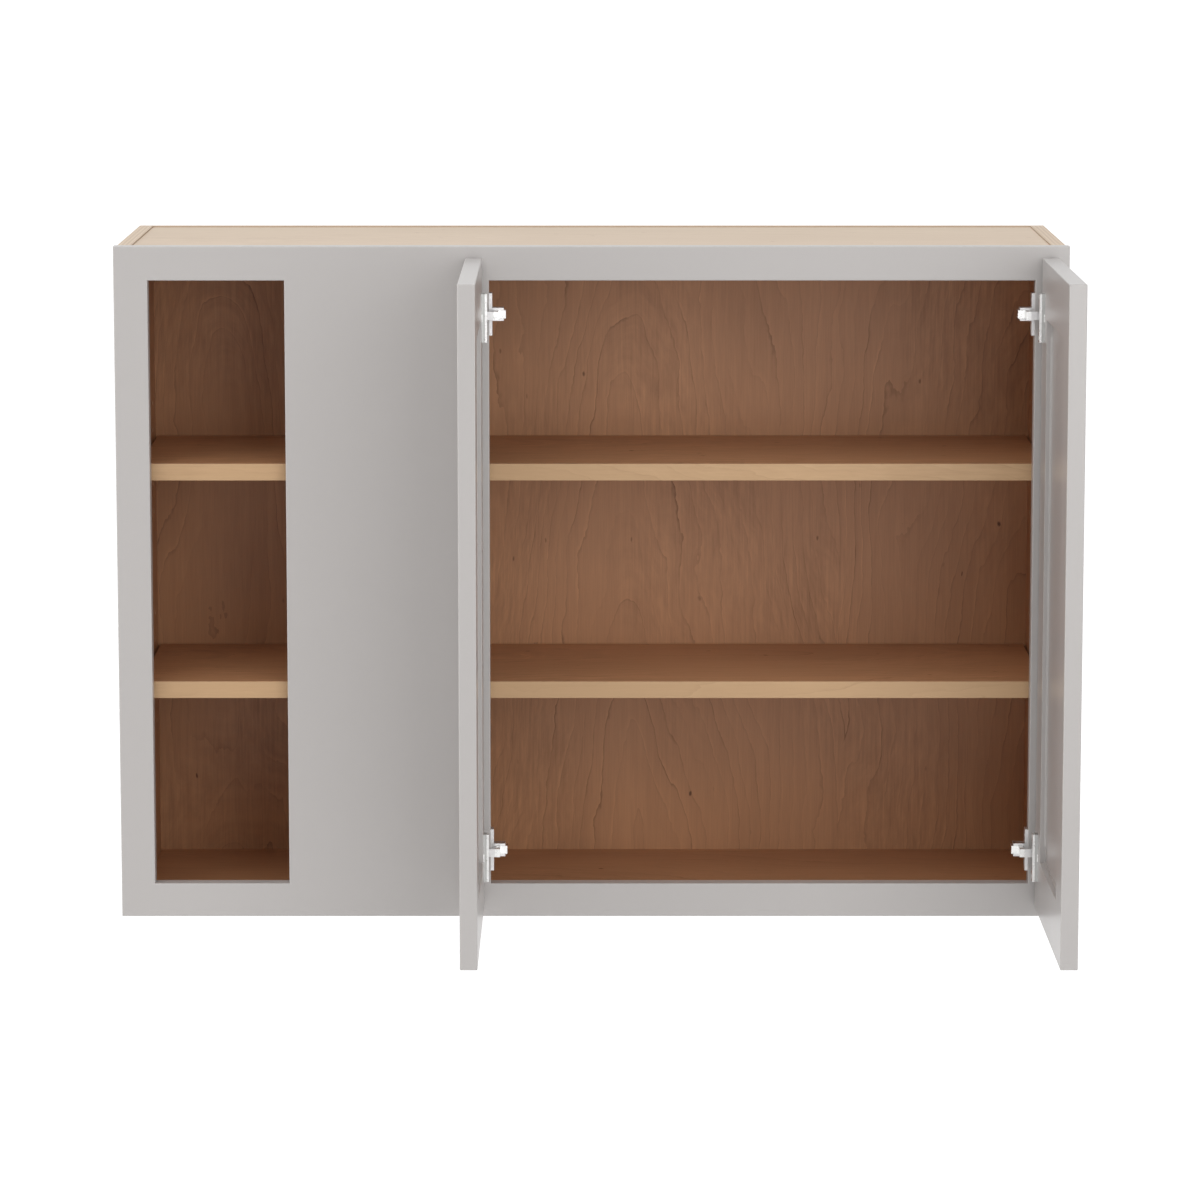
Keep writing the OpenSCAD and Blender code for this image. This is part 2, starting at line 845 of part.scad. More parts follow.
// Four shelf pins: a round shank in the side panel and a flat tab under the shelf
module shelf_pins(low_z) {
    color(steel)
    at_both_ends()
        for (row_y = [front_row_y, back_row_y]) {
            translate([side_inner_x - shelf_tab_length, row_y, low_z - shelf_pin_drop])
                bar(shelf_pin_diameter / 2, shelf_tab_length + shelf_pin_depth);
            block([side_inner_x - shelf_tab_length, row_y - shelf_tab_width / 2, low_z - shelf_tab_thickness],
                [side_inner_x, row_y + shelf_tab_width / 2, low_z]);
        }
}

module upper_shelf() {
    shelf(upper_shelf_z);
}

module upper_shelf_edge_band() {
    shelf_band(upper_shelf_z);
}

module upper_shelf_pins() {
    shelf_pins(upper_shelf_z);
}

module lower_shelf() {
    shelf(lower_shelf_z);
}

module lower_shelf_edge_band() {
    shelf_band(lower_shelf_z);
}

module lower_shelf_pins() {
    shelf_pins(lower_shelf_z);
}

left_side_panel();
right_side_panel();
top_panel();
bottom_panel();
back_panel();
frame_left_stile();
frame_blind_stile();
frame_right_stile();
frame_top_rail();
frame_bottom_rail();
left_door_hinge_stile();
left_door_meeting_stile();
left_door_top_rail();
left_door_bottom_rail();
left_door_panel();
right_door_hinge_stile();
right_door_meeting_stile();
right_door_top_rail();
right_door_bottom_rail();
right_door_panel();
upper_shelf();
upper_shelf_edge_band();
lower_shelf();
lower_shelf_edge_band();
upper_shelf_pins();
lower_shelf_pins();
left_upper_hinge_cup();
left_upper_hinge_pin();
left_upper_hinge_arm();
left_upper_hinge_plate();
left_lower_hinge_cup();
left_lower_hinge_pin();
left_lower_hinge_arm();
left_lower_hinge_plate();
right_upper_hinge_cup();
right_upper_hinge_pin();
right_upper_hinge_arm();
right_upper_hinge_plate();
right_lower_hinge_cup();
right_lower_hinge_pin();
right_lower_hinge_arm();
right_lower_hinge_plate();
left_cup_screws();
right_cup_screws();
plate_screws();
arm_screws();
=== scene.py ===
import math

import bmesh
import bpy
from mathutils import Matrix, Vector


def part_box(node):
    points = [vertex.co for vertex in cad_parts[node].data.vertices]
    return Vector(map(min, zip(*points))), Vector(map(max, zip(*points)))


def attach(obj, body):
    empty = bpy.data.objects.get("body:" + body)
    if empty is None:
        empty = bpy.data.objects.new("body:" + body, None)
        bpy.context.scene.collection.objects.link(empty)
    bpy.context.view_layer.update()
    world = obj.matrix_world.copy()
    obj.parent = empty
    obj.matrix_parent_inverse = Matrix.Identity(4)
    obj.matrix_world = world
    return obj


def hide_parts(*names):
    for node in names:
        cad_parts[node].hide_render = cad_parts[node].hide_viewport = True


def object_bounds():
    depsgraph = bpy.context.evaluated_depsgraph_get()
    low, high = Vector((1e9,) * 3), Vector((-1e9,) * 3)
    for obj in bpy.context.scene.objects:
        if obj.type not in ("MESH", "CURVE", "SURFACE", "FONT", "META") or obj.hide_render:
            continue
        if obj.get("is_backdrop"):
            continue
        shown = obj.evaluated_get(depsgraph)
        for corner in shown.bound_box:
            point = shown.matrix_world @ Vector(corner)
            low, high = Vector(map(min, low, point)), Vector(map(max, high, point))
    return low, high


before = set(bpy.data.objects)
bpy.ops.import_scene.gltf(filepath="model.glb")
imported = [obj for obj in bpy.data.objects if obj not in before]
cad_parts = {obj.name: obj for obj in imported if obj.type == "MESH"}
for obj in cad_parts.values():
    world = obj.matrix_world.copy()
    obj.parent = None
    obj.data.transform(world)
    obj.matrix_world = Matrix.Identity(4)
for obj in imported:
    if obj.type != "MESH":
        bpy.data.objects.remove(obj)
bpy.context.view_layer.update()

# The carcass: sides, top, bottom and back, sawn from plywood faced with plain-sliced maple. The decks sit a
# little below the ends of the sides and the back closes the box in their rabbets. Inside the veneer has a clear
# coat, and its colour is painted darker and redder than the bare outside as the shade and warm bounce inside the
# box; the strips of the inner faces in the steps beside the decks are painted darker still as shade. Outside the
# veneer is bare and paler, and the sawn edges show the plies.
X_AXIS, Y_AXIS, Z_AXIS = Vector((1, 0, 0)), Vector((0, 1, 0)), Vector((0, 0, 1))
BOARD_ARRIS = 0.0004
BOARD_EDGE_LENGTH = 0.06
NO_STEP = 1.0
WELD = 1e-6
TOUCHING = 1e-5
FACING = 0.9
FLAT_ANGLE = math.radians(0.2)


def put(tree, kind, sockets=None, **settings):
    """Adds a node; a socket given as a value is set, and one given as another socket is linked."""
    made = tree.nodes.new(kind)
    for name, value in settings.items():
        setattr(made, name, value)
    for name, value in (sockets or {}).items():
        if isinstance(value, bpy.types.NodeSocket):
            tree.links.new(value, made.inputs[name])
        else:
            made.inputs[name].default_value = value
    return made


def sum_of(tree, operation, first, second):
    return put(tree, "ShaderNodeMath", {0: first, 1: second}, operation=operation).outputs[0]


def remap(tree, value, from_low, from_high, to_low, to_high, smooth=False):
    sockets = {"Value": value, "From Min": from_low, "From Max": from_high,
               "To Min": to_low, "To Max": to_high}
    kind = "SMOOTHSTEP" if smooth else "LINEAR"
    return put(tree, "ShaderNodeMapRange", sockets, interpolation_type=kind).outputs["Result"]


def blend_colours(tree, share, first, second):
    return put(tree, "ShaderNodeMix", {0: share, 6: first, 7: second}, data_type="RGBA").outputs[2]


def scaled_colour(tree, colour, factor):
    sockets = {0: colour, "Scale": factor}
    return put(tree, "ShaderNodeVectorMath", sockets, operation="SCALE").outputs[0]


def bumped(tree, height, strength, distance):
    sockets = {"Height": height, "Strength": strength, "Distance": distance}
    return put(tree, "ShaderNodeBump", sockets).outputs[0]


def stretched_noise(tree, vector, stretch, detail=2.0, roughness=0.5):
    """Noise whose cells are as many to the metre along each axis as stretch says."""
    scaled = put(tree, "ShaderNodeVectorMath", {0: vector, 1: stretch}, operation="MULTIPLY").outputs[0]
    sockets = {"Vector": scaled, "Scale": 1.0, "Detail": detail, "Roughness": roughness}
    return put(tree, "ShaderNodeTexNoise", sockets).outputs["Fac"]


def new_group(name, inputs, outputs):
    """A shader node group with these inputs and outputs, and the sockets of its own input and output nodes."""
    group = bpy.data.node_groups.new(name, "ShaderNodeTree")
    for label, kind, value in inputs:
        socket = group.interface.new_socket(name=label, in_out="INPUT", socket_type=kind)
        if value is not None:
            socket.default_value = value
    for label, kind in outputs:
        group.interface.new_socket(name=label, in_out="OUTPUT", socket_type=kind)
    return group, put(group, "NodeGroupInput").outputs, put(group, "NodeGroupOutput").inputs


def plain_sliced_maple():
    """Figure of sliced maple: arches of thin, broken, dark ring lines around the heart of each leaf, straighter
    lines beside them, a light edge on each line, short curly streaks that follow them, fine fibres and small
    mineral flecks. X runs across the grain and Y along it, in metres. A ring's line lies where growth passes a
    whole number, and dark is the share of the ring's colour."""
    group, given, result = new_group(
        "plain_sliced_maple",
        [("Vector", "NodeSocketVector", None), ("Wood", "NodeSocketColor", (0.6, 0.5, 0.4, 1)),
         ("Ring", "NodeSocketColor", (0.3, 0.2, 0.1, 1)), ("Leaf", "NodeSocketFloat", 0.24),
         ("Rings", "NodeSocketFloat", 60.0), ("Contrast", "NodeSocketFloat", 0.5)],
        [("Color", "NodeSocketColor"), ("Gloss", "NodeSocketFloat"), ("Height", "NodeSocketFloat")])
    here = given["Vector"]
    run = put(group, "ShaderNodeSeparateXYZ", {0: here}).outputs
    wander = remap(group, stretched_noise(group, here, (8, 3, 8), detail=2.0), 0, 1, -0.045, 0.045)
    jitter = stretched_noise(group, here, (48, 20, 48), detail=3.0, roughness=0.6)
    jitter = remap(group, jitter, 0, 1, -0.008, 0.008)
    shifted = sum_of(group, "ADD", run["X"], sum_of(group, "ADD", wander, jitter))
    aside = sum_of(group, "PINGPONG", shifted, given["Leaf"])
    slice_depth = remap(group, stretched_noise(group, here, (1.5, 2.5, 1.5)), 0.3, 0.7, 0.012, 0.040)
    radius = sum_of(group, "MULTIPLY", slice_depth, slice_depth)
    radius = sum_of(group, "SQRT", sum_of(group, "ADD", radius, sum_of(group, "MULTIPLY", aside, aside)), 0.0)
    growth = sum_of(group, "MULTIPLY", radius, given["Rings"])
    growth = sum_of(group, "ADD", growth, sum_of(group, "MULTIPLY", run["Y"], 7.0))
    season = stretched_noise(group, here, (5, 1.8, 5), detail=1.0)
    growth = sum_of(group, "ADD", growth, remap(group, season, 0, 1, -4.0, 4.0))
    phase = sum_of(group, "FRACT", growth, 0.0)
    year = put(group, "ShaderNodeTexWhiteNoise", {"W": sum_of(group, "FLOOR", growth, 0.0)}, noise_dimensions="1D")
    strength = sum_of(group, "POWER", year.outputs["Value"], 2.4)
    slope = sum_of(group, "DIVIDE", sum_of(group, "MULTIPLY", aside, given["Rings"]), radius)
    width = sum_of(group, "MULTIPLY", sum_of(group, "ADD", slope, 9.0), 0.0021)
    line = sum_of(group, "DIVIDE", sum_of(group, "SUBTRACT", 1.0, phase), width)
    line = remap(group, line, 0.0, 1.0, 1.0, 0.0, smooth=True)
    fade = stretched_noise(group, here, (22, 5, 22))
    fade = remap(group, fade, 0.36, 0.64, 0.15, 1.0, smooth=True)
    broken = stretched_noise(group, here, (52, 30, 52), detail=2.0, roughness=0.6)
    fade = sum_of(group, "MULTIPLY", fade, remap(group, broken, 0.36, 0.60, 0.50, 1.0, smooth=True))
    fade = sum_of(group, "MULTIPLY", fade, remap(group, strength, 0, 1, 0.20, 0.80))
    line = sum_of(group, "MULTIPLY", line, fade)
    early = remap(group, sum_of(group, "DIVIDE", phase, width), 0.0, 1.6, 1.0, 0.0, smooth=True)
    early = sum_of(group, "MULTIPLY", early, fade)
    late = sum_of(group, "POWER", phase, 2.0)
    late = sum_of(group, "MULTIPLY", late, remap(group, strength, 0, 1, 0.3, 1.0))
    following = put(group, "ShaderNodeCombineXYZ", {"X": growth, "Y": run["Y"]}).outputs[0]
    curl = stretched_noise(group, following, (2.3, 25, 1), detail=3.0, roughness=0.62)
    hatch = stretched_noise(group, here, (330, 13, 330), detail=2.0, roughness=0.6)
    fibre = stretched_noise(group, here, (720, 22, 720), detail=3.0, roughness=0.65)
    streak = stretched_noise(group, here, (130, 3.2, 130), detail=2.0, roughness=0.6)
    cloud = stretched_noise(group, here, (11, 4.5, 11), detail=2.0)
    bent = put(group, "ShaderNodeCombineXYZ", {"X": shifted, "Y": run["Y"]}).outputs[0]
    cells = put(group, "ShaderNodeVectorMath", {0: bent, 1: (46, 19, 1)}, operation="MULTIPLY").outputs[0]
    cell = put(group, "ShaderNodeTexVoronoi", {"Vector": cells, "Scale": 1.0, "Randomness": 1.0},
               feature="F1", voronoi_dimensions="2D")
    chosen = put(group, "ShaderNodeSeparateColor", {0: cell.outputs["Color"]}).outputs[0]
    fleck = remap(group, cell.outputs["Distance"], 0.02, 0.08, 1.0, 0.0, smooth=True)
    fleck = sum_of(group, "MULTIPLY", fleck, remap(group, chosen, 0.92, 0.99, 0.0, 1.0))
    curly = stretched_noise(group, here, (5, 2.2, 5), detail=1.0)
    curly = remap(group, curly, 0.42, 0.60, 0.15, 1.0, smooth=True)
    curl = sum_of(group, "MULTIPLY", remap(group, curl, 0.3, 0.7, -0.11, 0.11), curly)
    hatch = sum_of(group, "MULTIPLY", remap(group, hatch, 0.3, 0.7, -0.085, 0.085), curly)
    fine = [remap(group, fibre, 0.3, 0.7, -0.06, 0.06), remap(group, streak, 0.3, 0.7, -0.035, 0.035),
            remap(group, cloud, 0.3, 0.7, -0.07, 0.07)]
    dark = sum_of(group, "MULTIPLY", line, 0.66)
    late = sum_of(group, "MULTIPLY", late, 0.10)
    early = sum_of(group, "MULTIPLY", early, -0.22)
    for part in (late, early, curl, hatch, *fine):
        dark = sum_of(group, "ADD", dark, part)
    dark = sum_of(group, "MULTIPLY", dark, given["Contrast"])
    dark = sum_of(group, "ADD", dark, sum_of(group, "MULTIPLY", fleck, 0.9))
    dark = sum_of(group, "ADD", dark, 0.2)
    group.links.new(blend_colours(group, dark, given["Wood"], given["Ring"]), result["Color"])
    group.links.new(remap(group, dark, 0.0, 1.0, -0.04, 0.10), result["Gloss"])
    pores = sum_of(group, "ADD", fibre, sum_of(group, "MULTIPLY", line, -0.5))
    group.links.new(pores, result["Height"])
    return group


def ply_edge():
    """The sawn edge of plywood: plies that turn their end grain and their long grain by turns, with thin glue
    lines between. Z runs through the board's thickness, in metres."""
    group, given, result = new_group(
        "ply_edge",
        [("Vector", "NodeSocketVector", None), ("Wood", "NodeSocketColor", (0.6, 0.5, 0.4, 1)),
         ("End grain", "NodeSocketColor", (0.5, 0.4, 0.3, 1)), ("Ply", "NodeSocketFloat", 0.0023)],
        [("Color", "NodeSocketColor"), ("Height", "NodeSocketFloat")])
    through = put(group, "ShaderNodeSeparateXYZ", {0: given["Vector"]}).outputs["Z"]
    wave = stretched_noise(group, given["Vector"], (14, 14, 0), detail=2.0)
    through = sum_of(group, "ADD", through, remap(group, wave, 0, 1, -0.0006, 0.0006))
    ply = sum_of(group, "DIVIDE", through, given["Ply"])
    turned = sum_of(group, "PINGPONG", ply, 1.0)
    turned = remap(group, turned, 0.46, 0.54, 0.0, 1.0, smooth=True)
    glue = sum_of(group, "PINGPONG", sum_of(group, "ADD", ply, 0.5), 0.5)
    glue = remap(group, glue, 0.0, 0.06, 1.0, 0.0, smooth=True)
    grain = stretched_noise(group, given["Vector"], (260, 260, 900), detail=3.0, roughness=0.7)
    share = sum_of(group, "MULTIPLY", turned, 0.35)
    share = sum_of(group, "ADD", share, remap(group, grain, 0.3, 0.7, -0.15, 0.25))
    share = sum_of(group, "ADD", share, sum_of(group, "MULTIPLY", glue, 0.4))
    group.links.new(blend_colours(group, share, given["Wood"], given["End grain"]), result["Color"])
    group.links.new(sum_of(group, "ADD", grain, sum_of(group, "MULTIPLY", glue, -0.6)), result["Height"])
    return group


MAPLE_FIGURE = plain_sliced_maple()
PLY_EDGE = ply_edge()


def new_material(name):
    material = bpy.data.materials.new(name)
    material.use_nodes = True
    material.node_tree.nodes.clear()
    return material, material.node_tree


def show(tree, shader):
    tree.links.new(shader.outputs[0], put(tree, "ShaderNodeOutputMaterial").inputs["Surface"])


def turned_object(tree, turn, centre):
    """Object coordinates with the grain turned onto Y, moved to this sheet's place in the log."""
    here = put(tree, "ShaderNodeTexCoord").outputs["Object"]
    return put(tree, "ShaderNodeMapping", {"Vector": here, "Location": centre, "Rotation": turn},
               vector_type="POINT").outputs[0]


GRAIN_UP = (math.radians(-90), 0, 0)
GRAIN_UP_SIDE = (math.radians(-90), math.radians(90), 0)
GRAIN_ALONG_X = (0, 0, math.radians(90))
GRAIN_ALONG_BAND = (math.radians(90), 0, math.radians(90))
PLIES_ACROSS_X = (0, math.radians(-90), 0)
PLIES_ACROSS_Y = (math.radians(90), 0, 0)
PLIES_ACROSS_Z = (0, 0, 0)


def veneer(name, turn, centre, wood, ring, contrast=0.9, roughness=0.42):
    material, tree = new_material(name)
    sockets = {"Vector": turned_object(tree, turn, centre), "Wood": wood, "Ring": ring, "Contrast": contrast}
    figure = put(tree, "ShaderNodeGroup", sockets, node_tree=MAPLE_FIGURE).outputs
    show(tree, put(tree, "ShaderNodeBsdfPrincipled", {
        "Base Color": figure["Color"], "Roughness": sum_of(tree, "ADD", figure["Gloss"], roughness),
        "Normal": bumped(tree, figure["Height"], 0.35, 0.00012), "Specular IOR Level": 0.42}))
    return material


def sawn_edge(name, turn, centre, wood, end_grain, ply=0.0023):
    material, tree = new_material(name)
    sockets = {"Vector": turned_object(tree, turn, centre), "Wood": wood, "End grain": end_grain, "Ply": ply}
    edge = put(tree, "ShaderNodeGroup", sockets, node_tree=PLY_EDGE).outputs
    show(tree, put(tree, "ShaderNodeBsdfPrincipled", {
        "Base Color": edge["Color"], "Normal": bumped(tree, edge["Height"], 0.4, 0.0002), "Roughness": 0.62,
        "Specular IOR Level": 0.3}))
    return material


def merged_copy(node):
    """A CAD node's own solid with its loose triangles merged and its flat faces made whole."""
    bm = bmesh.new()
    bm.from_mesh(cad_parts[node].data)
    bmesh.ops.remove_doubles(bm, verts=bm.verts, dist=WELD)
    bmesh.ops.dissolve_limit(bm, angle_limit=FLAT_ANGLE, verts=bm.verts, edges=bm.edges)
    return bm


def round_off(bm, edges, radius, segments):
    return bmesh.ops.bevel(bm, geom=edges, offset=radius, offset_type="OFFSET", segments=segments, profile=0.5,
                           affect="EDGES", clamp_overlap=True, material=-1)


def sharp_edges(bm, keep=lambda edge: True, sharper_than=40):
    return [e for e in bm.edges
            if e.is_manifold and keep(e) and e.calc_face_angle() > math.radians(sharper_than)]


def place(bm, name, body, replaced, materials):
    mesh = bpy.data.meshes.new(name)
    bm.to_mesh(mesh)
    bm.free()
    for material in materials:
        mesh.materials.append(material)
    piece = bpy.data.objects.new(name, mesh)
    bpy.context.scene.collection.objects.link(piece)
    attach(piece, body)
    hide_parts(*replaced)
    return piece


def cut_at(bm, axis, distance):
    bmesh.ops.bisect_plane(bm, geom=bm.verts[:] + bm.edges[:] + bm.faces[:], dist=WELD,
                           plane_co=axis * distance, plane_no=axis)


def board(name, node, body, thickness_axis, outward, materials, step_beyond=NO_STEP):
    """A veneered board with its arrises just eased. Its materials are those of the inner face, the outer face, the
    sawn edges and, in the steps above and below the decks, the strips of the inner face, painted darker as shade."""
    bm = merged_copy(node)
    round_off(bm, sharp_edges(bm, lambda e: e.calc_length() > BOARD_EDGE_LENGTH), BOARD_ARRIS, 2)
    for z in (-step_beyond, step_beyond):
        cut_at(bm, Z_AXIS, z)
    for face in bm.faces:
        through = face.normal.dot(thickness_axis) * outward
        in_step = abs(face.calc_center_median().z) > step_beyond
        face.material_index = 2 if abs(through) < FACING else 1 if through > 0 else 3 if in_step else 0
        face.smooth = False
    place(bm, name, body, [node], materials)


# Painted shade: the inside colour and rings below are darker and redder than the bare ones, for the shade and warm
# bounce light inside the box.
COATED_SHADED_WOOD, COATED_SHADED_RING = (0.600, 0.313, 0.157, 1), (0.150, 0.066, 0.030, 1)
BARE_WOOD, BARE_RING = (0.800, 0.652, 0.508, 1), (0.420, 0.305, 0.210, 1)
END_GRAIN = (0.520, 0.400, 0.300, 1)
# Painted shade: the strips of the inner faces in the narrow steps beside the decks get this darker colour.
SHADED_STEP_WOOD = (0.560, 0.440, 0.330, 1)
DECK_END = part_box("top_panel")[1].z
SHADED_STEP = veneer("shaded bare strip in the step", GRAIN_ALONG_X, (0.3, 0.2, 0), SHADED_STEP_WOOD, BARE_RING, 0.5, 0.7)
sides = {"left": ("left_side_panel", -X_AXIS, 0.31), "right": ("right_side_panel", X_AXIS, 1.27)}
for side, (node, outward, log_place) in sides.items():
    low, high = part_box(node)
    middle = (low.x + high.x) / 2
    board(f"maple_{side}_side", node, "cabinet", outward, 1, [
        veneer(f"{side} side, coated_shaded", GRAIN_UP_SIDE, (0, log_place, 0.4), COATED_SHADED_WOOD, COATED_SHADED_RING),
        veneer(f"{side} side, bare", GRAIN_UP_SIDE, (0, log_place, 0.9), BARE_WOOD, BARE_RING, 0.7, 0.58),
        sawn_edge(f"{side} side, sawn edge", PLIES_ACROSS_X, (0, 0, -middle), BARE_WOOD, END_GRAIN),
        SHADED_STEP], DECK_END)
for deck, upward, log_place in (("top", 1, 0.63), ("bottom", -1, 1.71)):
    node = f"{deck}_panel"
    low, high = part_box(node)
    middle = (low.z + high.z) / 2
    board(f"maple_{deck}", node, "cabinet", Z_AXIS, upward, [
        veneer(f"{deck}, coated_shaded", GRAIN_ALONG_X, (0.2, log_place, 0), COATED_SHADED_WOOD, COATED_SHADED_RING),
        veneer(f"{deck}, bare", GRAIN_ALONG_X, (0.7, log_place, 0), BARE_WOOD, BARE_RING, 0.55, 0.58),
        sawn_edge(f"{deck}, sawn edge", PLIES_ACROSS_Z, (0, 0, -middle), BARE_WOOD, END_GRAIN)])
board("maple_back", "back_panel", "cabinet", Y_AXIS, 1, [
    veneer("back, coated_shaded", GRAIN_UP, (-0.05, 0.42, 0), COATED_SHADED_WOOD, COATED_SHADED_RING, 1.0),
    veneer("back, bare", GRAIN_UP, (0.9, 0.3, 0), BARE_WOOD, BARE_RING, 0.6, 0.6),
    sawn_edge("back, sawn edge", PLIES_ACROSS_Y, (0, 0, 0), BARE_WOOD, END_GRAIN, 0.0021),
    SHADED_STEP], DECK_END)

# The face frame: stiles and rails of solid wood, joined, filled and sanded flush, then sprayed as one piece with
# a warm grey satin enamel, so its joints don't show. Its arrises are eased by hand before the paint.
PAINT = (0.517, 0.493, 0.480, 1)
FRAME_ARRIS = 0.0011
DOOR_OVERLAY = 0.0254
HIDDEN_ARRIS = 0.0004


def sprayed_enamel():
    """Sprayed paint: a soft mottle in its colour, a thinner and lighter film on the arrises, and orange peel."""
    group, given, result = new_group(
        "sprayed_enamel",
        [("Vector", "NodeSocketVector", None), ("Paint", "NodeSocketColor", PAINT),
         ("Worn", "NodeSocketColor", (0.6, 0.58, 0.56, 1)), ("Arris", "NodeSocketFloat", 0.0),
         ("Roughness", "NodeSocketFloat", 0.30)],
        [("Color", "NodeSocketColor"), ("Roughness", "NodeSocketFloat"), ("Height", "NodeSocketFloat")])
    mottle = stretched_noise(group, given["Vector"], (7, 7, 7), detail=3.0)
    speck = stretched_noise(group, given["Vector"], (160, 160, 160), detail=2.0, roughness=0.6)
    peel = stretched_noise(group, given["Vector"], (420, 420, 420))
    tone = remap(group, mottle, 0.2, 0.8, 0.995, 1.005)
    tone = sum_of(group, "ADD", tone, remap(group, speck, 0.3, 0.7, -0.003, 0.003))
    tint = scaled_colour(group, given["Paint"], tone)
    thin = sum_of(group, "MULTIPLY", given["Arris"], remap(group, speck, 0.35, 0.65, 0.10, 0.30))
    group.links.new(blend_colours(group, thin, tint, given["Worn"]), result["Color"])
    rough = sum_of(group, "ADD", given["Roughness"], remap(group, mottle, 0.2, 0.8, -0.02, 0.02))
    rough = sum_of(group, "ADD", rough, sum_of(group, "MULTIPLY", given["Arris"], 0.06))
    group.links.new(rough, result["Roughness"])
    group.links.new(sum_of(group, "ADD", peel, sum_of(group, "MULTIPLY", mottle, 0.8)), result["Height"])
    return group


def enamel(name, group):
    material, tree = new_material(name)
    arris = put(tree, "ShaderNodeAttribute", attribute_name="arris").outputs["Fac"]
    sockets = {"Vector": put(tree, "ShaderNodeTexCoord").outputs["Object"], "Arris": arris}
    film = put(tree, "ShaderNodeGroup", sockets, node_tree=group).outputs
    show(tree, put(tree, "ShaderNodeBsdfPrincipled", {
        "Base Color": film["Color"], "Roughness": film["Roughness"],
        "Normal": bumped(tree, film["Height"], 0.12, 0.0003), "Specular IOR Level": 0.45}))
    return material


GREY_ENAMEL = enamel("warm grey enamel", sprayed_enamel())


def block(low, high):
    bm = bmesh.new()
    bmesh.ops.create_cube(bm, size=1)
    bmesh.ops.scale(bm, vec=high - low, verts=bm.verts)
    bmesh.ops.translate(bm, vec=(low + high) / 2, verts=bm.verts)
    return bm


def box_of(nodes):
    boxes = [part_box(node) for node in nodes]
    low = Vector([min(b[0][axis] for b in boxes) for axis in range(3)])
    high = Vector([max(b[1][axis] for b in boxes) for axis in range(3)])
    return low, high


def paint_arrises(bm, edges, radius, segments=3):
    """Rounds the edges and marks the rounded faces, where the paint is thinner."""
    mark = bm.faces.layers.float.get("arris") or bm.faces.layers.float.new("arris")
    for face in round_off(bm, edges, radius, segments)["faces"]:
        face[mark] = 1.0


frame_nodes = [f"frame_{part}" for part in ("left_stile", "blind_stile", "right_stile", "top_rail", "bottom_rail")]
frame_low, frame_high = box_of(frame_nodes)
left_stile, blind_stile, right_stile = (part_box(node) for node in frame_nodes[:3])
opening_high_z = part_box("left_door_hinge_stile")[1].z - DOOR_OVERLAY
opening_low_z = -opening_high_z
open_bay = (left_stile[1].x, blind_stile[0].x)
door_bay = (blind_stile[1].x, right_stile[0].x)
bm = block(frame_low, frame_high)
for x in open_bay + door_bay:
    cut_at(bm, X_AXIS, x)
for z in (opening_low_z, opening_high_z):
    cut_at(bm, Z_AXIS, z)


def in_opening(point, bay):
    return bay[0] < point.x < bay[1] and opening_low_z < point.z < opening_high_z


openings = [f for f in bm.faces if abs(f.normal.y) > FACING
            and any(in_opening(f.calc_center_median(), bay) for bay in (open_bay, door_bay))]
bmesh.ops.delete(bm, geom=openings, context="FACES")
for bay in (open_bay, door_bay):
    rims = [e for e in bm.edges
            if e.is_boundary and bay[0] - TOUCHING < e.verts[0].co.x < bay[1] + TOUCHING]
    bmesh.ops.bridge_loops(bm, edges=rims)
bmesh.ops.recalc_face_normals(bm, faces=bm.faces)
bmesh.ops.dissolve_limit(bm, angle_limit=FLAT_ANGLE, verts=bm.verts, edges=bm.edges)
front_edges = sharp_edges(bm, lambda e: max(v.co.y for v in e.verts) < frame_low.y + TOUCHING)
paint_arrises(bm, front_edges, FRAME_ARRIS)
back_edges = sharp_edges(bm, lambda e: min(v.co.y for v in e.verts) > frame_high.y - TOUCHING)
paint_arrises(bm, back_edges, HIDDEN_ARRIS, 2)
place(bm, "painted_face_frame", "cabinet", frame_nodes, [GREY_ENAMEL])

# The doors: stiles and rails around a flat panel, glued up and sprayed like the frame, so they read as one sheet
# with a plain recess on the front. On the back a small ledge steps down to the panel. Each hinge stile is bored
# for its two cups.
DOOR_ARRIS = 0.0012
RECESS_ARRIS = 0.0006
MEMBER_WIDTH = 0.066
BACK_LEDGE = 0.0025
BACK_LEDGE_DEPTH = 0.005
PANEL_RECESS = 0.00635
BORE_SEGMENTS = 64
BORE_RADIUS = 0.01755
BORE_EDGE_DISTANCE = 0.0205
BORE_DEPTH = 0.01355
BORE_MARGIN = 0.001
LEAST_FACE = 0.2
RECESS_EDGE_LENGTH = 0.1


def sunk(bm, face, margin, depth):
    """Insets a flat face and pushes the middle down with square walls."""
    bmesh.ops.inset_region(bm, faces=[face], thickness=margin, depth=0, use_even_offset=True)
    walls = bmesh.ops.extrude_discrete_faces(bm, faces=[face])
    floor = walls["faces"][0]
    bmesh.ops.translate(bm, vec=-floor.normal * depth, verts=floor.verts)
    return floor


